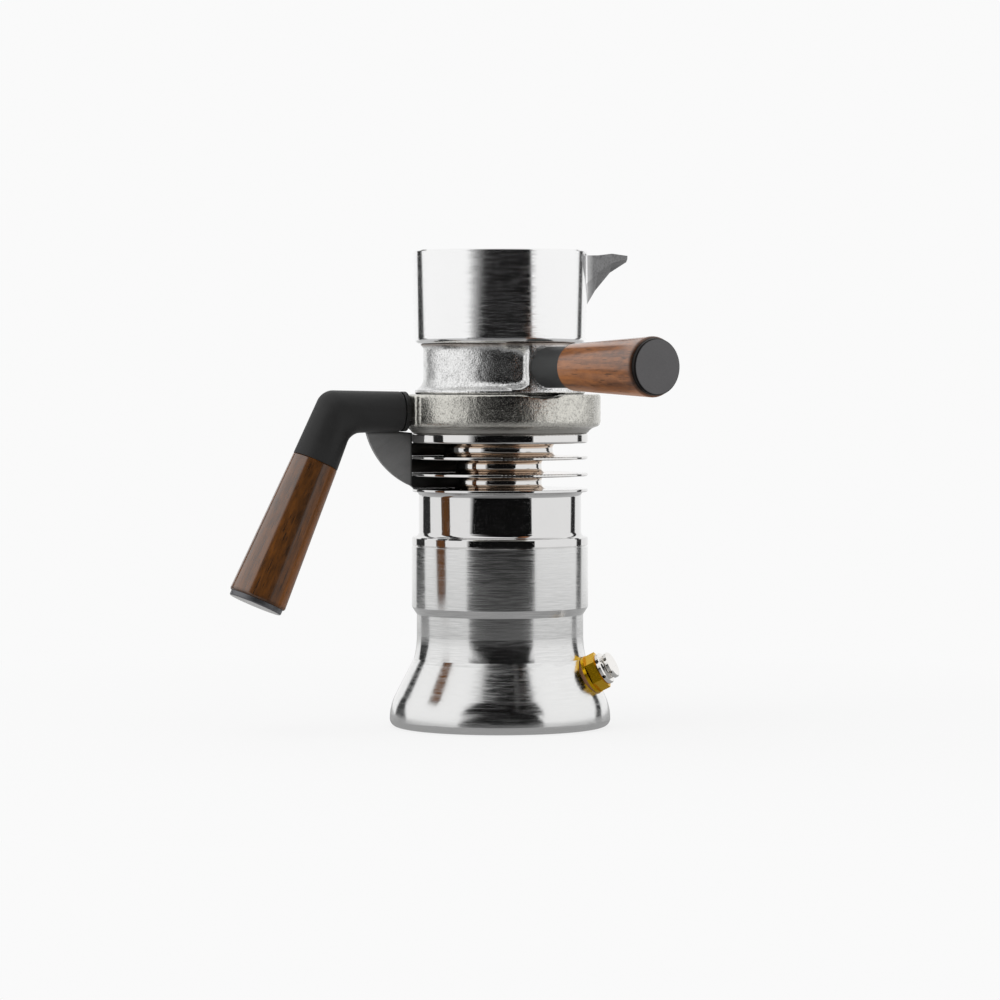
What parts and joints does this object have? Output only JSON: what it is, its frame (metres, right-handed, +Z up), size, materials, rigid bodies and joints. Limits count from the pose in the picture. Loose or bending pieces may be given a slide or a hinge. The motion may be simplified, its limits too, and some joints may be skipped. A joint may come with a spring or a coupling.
{
  "type": "stovetop espresso maker",
  "caption": "Stovetop espresso maker: flared aluminium boiler, polished finned steel neck, bayonet collector cup with a spout, and two walnut handles.",
  "frame": {"origin": "the middle of the flat face under the lower boiler, which rests on the hob", "axes": "+Z up along the maker's axis; the picture looks along +Y; the main handle points 21 degrees to the front of -X, and the spout 8 degrees behind +X"},
  "size_m": [0.2011, 0.1564, 0.22],
  "materials": {
    "brushed_aluminium": "turned and brushed",
    "polished_steel": "polished stainless steel",
    "cast_steel": "cast and blasted",
    "collector_steel": "brushed",
    "inner_steel": "satin",
    "gold_brass": "polished",
    "nickel": "nickel plated",
    "walnut": "oiled",
    "black_coat": "satin black coating",
    "guard_black": "satin",
    "cap_grey": "dark and brushed",
    "cap_steel": "brushed",
    "gasket_rubber": "silicone",
    "washer_fibre": "matt"
  },
  "bodies": {
    "base": {"lower_boiler": "brushed_aluminium", "relief_valve_washer": "washer_fibre", "relief_valve_body": "gold_brass", "relief_valve_cap": "nickel", "relief_valve_spring": "inner_steel"},
    "relief_plunger": {"relief_valve_plunger": "nickel", "relief_valve_seal": "gasket_rubber"},
    "boiler_seal": {"boiler_gasket": "gasket_rubber"},
    "main_body": {"upper_boiler": "polished_steel", "valve_housing": "inner_steel", "valve_housing_gasket": "gasket_rubber", "valve_seat": "inner_steel", "valve_spring": "inner_steel", "spring_retainer": "inner_steel", "dip_tube": "inner_steel", "dip_tube_nut": "inner_steel", "heat_sink": "polished_steel", "clamp_ring": "cast_steel", "clamp_ring_screws": "inner_steel", "shower_screen": "inner_steel", "lower_basket_gasket": "gasket_rubber", "filter_basket": "inner_steel", "handle_stud": "inner_steel", "handle_elbow": "black_coat", "main_grip": "walnut", "main_grip_cap": "cap_steel", "main_rod": "inner_steel", "hand_guard": "guard_black"},
    "valve_poppet": {"valve_poppet": "inner_steel"},
    "collector": {"collector_neck": "cast_steel", "collector_cup": "collector_steel", "outlet_column": "inner_steel", "column_cap": "inner_steel", "upper_gasket": "gasket_rubber", "upper_screen": "inner_steel", "collector_ferrule": "black_coat", "collector_grip": "walnut", "collector_grip_cap": "cap_grey", "collector_rod": "inner_steel"}
  },
  "joints": [
    {"name": "base_rise", "type": "slide", "parent": "base", "child": "boiler_seal", "axis": [0, 0, 1], "range_m": [0, 0.008]},
    {"name": "base_turn", "type": "hinge", "parent": "boiler_seal", "child": "main_body", "pos_m": [0, 0, 0.084], "axis": [0, 0, 1], "range_deg": [0, 720]},
    {"name": "collector_turn", "type": "hinge", "parent": "main_body", "child": "collector", "pos_m": [0, 0, 0.154], "axis": [0, 0, 1], "range_deg": [0, 60]},
    {"name": "poppet_lift", "type": "slide", "parent": "main_body", "child": "valve_poppet", "axis": [0, 0, 1], "range_m": [0, 0.0015], "stiffness_N_per_m": 800, "springref_m": -0.003, "deforming": ["valve_spring"]},
    {"name": "relief_lift", "type": "slide", "parent": "base", "child": "relief_plunger", "axis": [0.8521, -0.2605, 0.454], "range_m": [0, 0.0015], "stiffness_N_per_m": 2000, "springref_m": -0.003, "deforming": ["relief_valve_spring"]}
  ],
  "couplings": [
    {"joint": "base_rise", "follows": "base_turn", "m_per_rad": 0.00063662}
  ]
}
